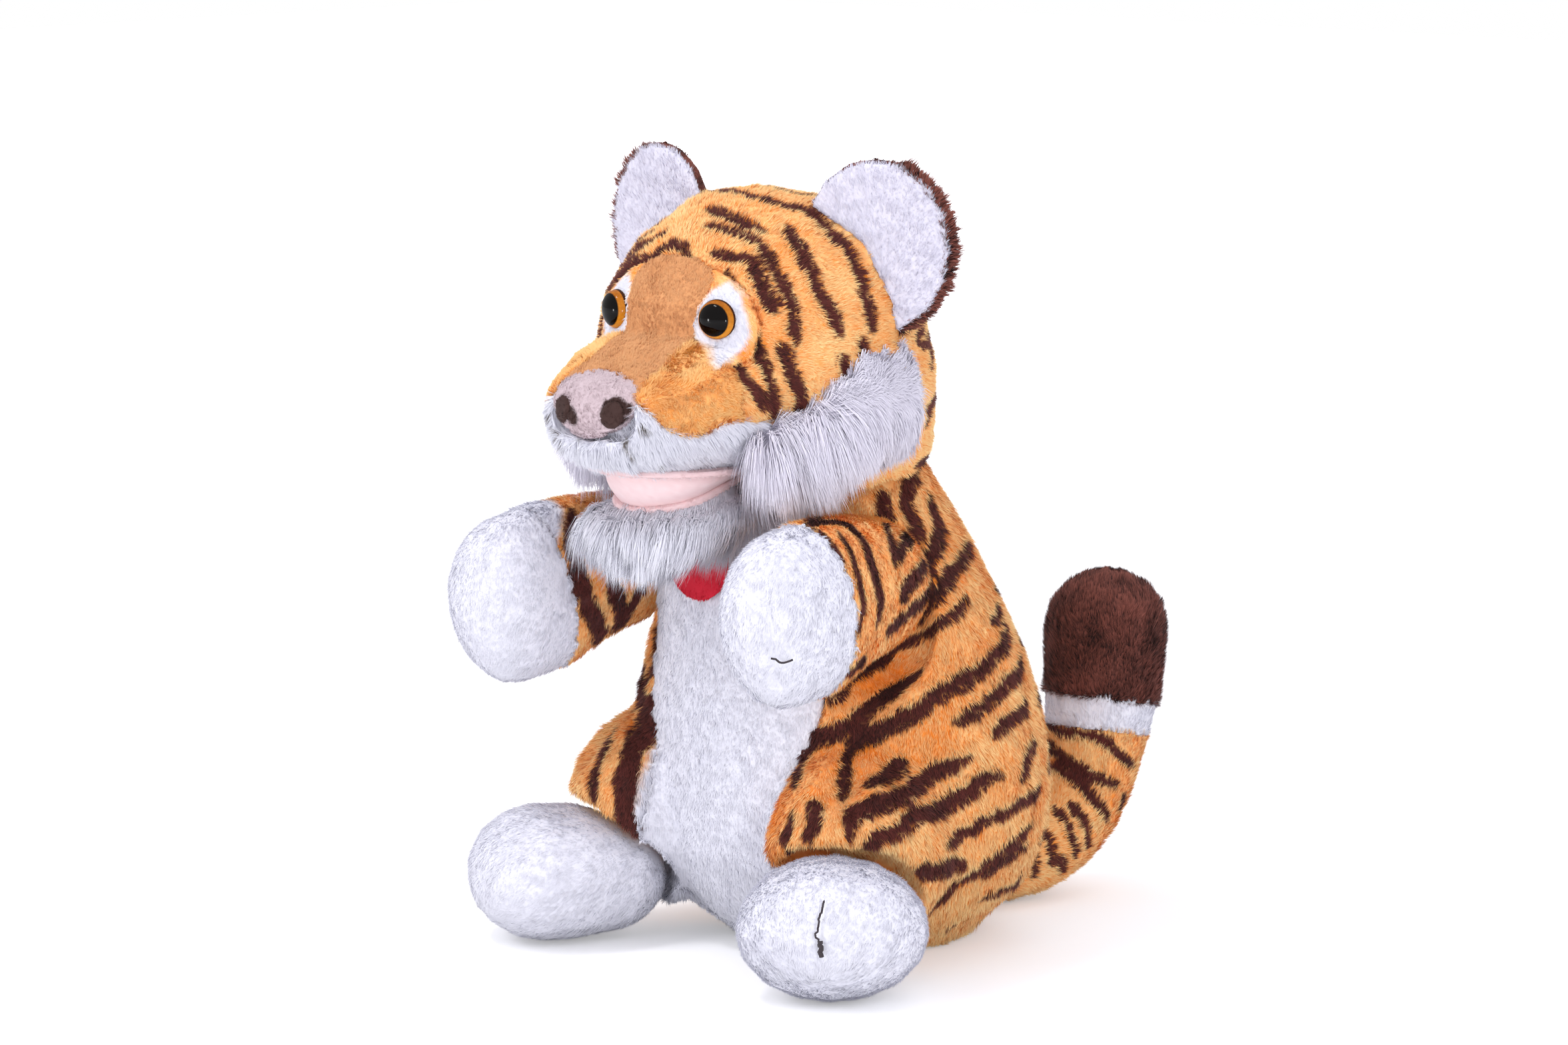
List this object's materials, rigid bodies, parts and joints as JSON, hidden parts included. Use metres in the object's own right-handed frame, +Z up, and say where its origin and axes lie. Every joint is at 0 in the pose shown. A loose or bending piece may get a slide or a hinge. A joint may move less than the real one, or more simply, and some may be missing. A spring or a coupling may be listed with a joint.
{
  "type": "hand puppet",
  "caption": "Seated tiger hand puppet in striped plush with a stuffed head, moving jaw, arms, feet and tail, hollow for a hand.",
  "frame": {"origin": "on the floor, in the middle of the puppet's box", "axes": "+Z up, -Y where the puppet faces, +X the puppet's own left"},
  "size_m": [0.1876, 0.2599, 0.262],
  "materials": {
    "plush_orange": "short curly pile, dark brown stripes",
    "plush_white": "short pile",
    "plush_tan": "very short pile",
    "plush_mauve": "very short pile",
    "plush_brown": "pile",
    "plush_pink": "very short pile",
    "felt_red": "felt",
    "lining": "woven",
    "eye_plastic": "polished, amber iris and black pupil",
    "washer_plastic": "moulded"
  },
  "bodies": {
    "body": {"body_shell_left": "plush_orange", "body_shell_right": "plush_orange", "belly_panel": "plush_white", "body_lining": "lining", "hem_band": "plush_orange"},
    "neck": {"neck_sleeve": "lining"},
    "head": {"nose_bridge": "plush_tan", "nose_panel": "plush_mauve", "upper_lip": "plush_white", "mouth_roof": "plush_pink", "head_shell_left": "plush_orange", "head_shell_right": "plush_orange", "cheek_panel_left": "plush_orange", "cheek_panel_right": "plush_orange", "eye_patch_left": "plush_white", "eye_patch_right": "plush_white", "nostril_left": "plush_brown", "nostril_right": "plush_brown", "eye_left": "eye_plastic", "eye_right": "eye_plastic", "eye_washer_left": "washer_plastic", "eye_washer_right": "washer_plastic", "ear_front_left": "plush_white", "ear_front_right": "plush_white", "ear_back_left": "plush_brown", "ear_back_right": "plush_brown", "cheek_ruff_left": "plush_white", "cheek_ruff_right": "plush_white"},
    "jaw": {"jaw": "plush_white", "mouth_floor": "plush_pink"},
    "arm_left": {"sleeve_left": "plush_orange", "paw_left": "plush_white"},
    "arm_right": {"sleeve_right": "plush_orange", "paw_right": "plush_white"},
    "foot_left": {"foot_left": "plush_white"},
    "foot_right": {"foot_right": "plush_white"},
    "tail": {"tail_tube": "plush_orange", "tail_band": "plush_white", "tail_tip": "plush_brown"},
    "tab": {"felt_tab": "felt_red"}
  },
  "joints": [
    {"name": "head_turn", "type": "hinge", "parent": "body", "child": "neck", "pos_m": [0, -0.0282, 0.116], "axis": [0, 0, 1], "range_deg": [-10, 10]},
    {"name": "head_nod", "type": "hinge", "parent": "neck", "child": "head", "pos_m": [0, -0.0282, 0.116], "axis": [1, 0, 0], "range_deg": [-8, 6]},
    {"name": "mouth", "type": "hinge", "parent": "head", "child": "jaw", "pos_m": [0, -0.0702, 0.156], "axis": [1, 0, 0], "range_deg": [-12, 18]},
    {"name": "shoulder_left", "type": "hinge", "parent": "body", "child": "arm_left", "pos_m": [0.05, -0.0342, 0.125], "axis": [1, 0, 0], "range_deg": [-8, 35]},
    {"name": "shoulder_right", "type": "hinge", "parent": "body", "child": "arm_right", "pos_m": [-0.05, -0.0342, 0.125], "axis": [1, 0, 0], "range_deg": [-14, 29]},
    {"name": "ankle_left", "type": "hinge", "parent": "body", "child": "foot_left", "pos_m": [0.044, -0.0582, 0.022], "axis": [0, 0, 1], "range_deg": [-12, 12]},
    {"name": "ankle_right", "type": "hinge", "parent": "body", "child": "foot_right", "pos_m": [-0.044, -0.0582, 0.022], "axis": [0, 0, 1], "range_deg": [-12, 12]},
    {"name": "tail_swing", "type": "hinge", "parent": "body", "child": "tail", "pos_m": [0.008, 0.0438, 0.015], "axis": [0, 0, 1], "range_deg": [-18, 18]},
    {"name": "tab_swing", "type": "hinge", "parent": "body", "child": "tab", "pos_m": [0, -0.0722, 0.136], "axis": [1, 0, 0], "range_deg": [-50, 0]}
  ]
}
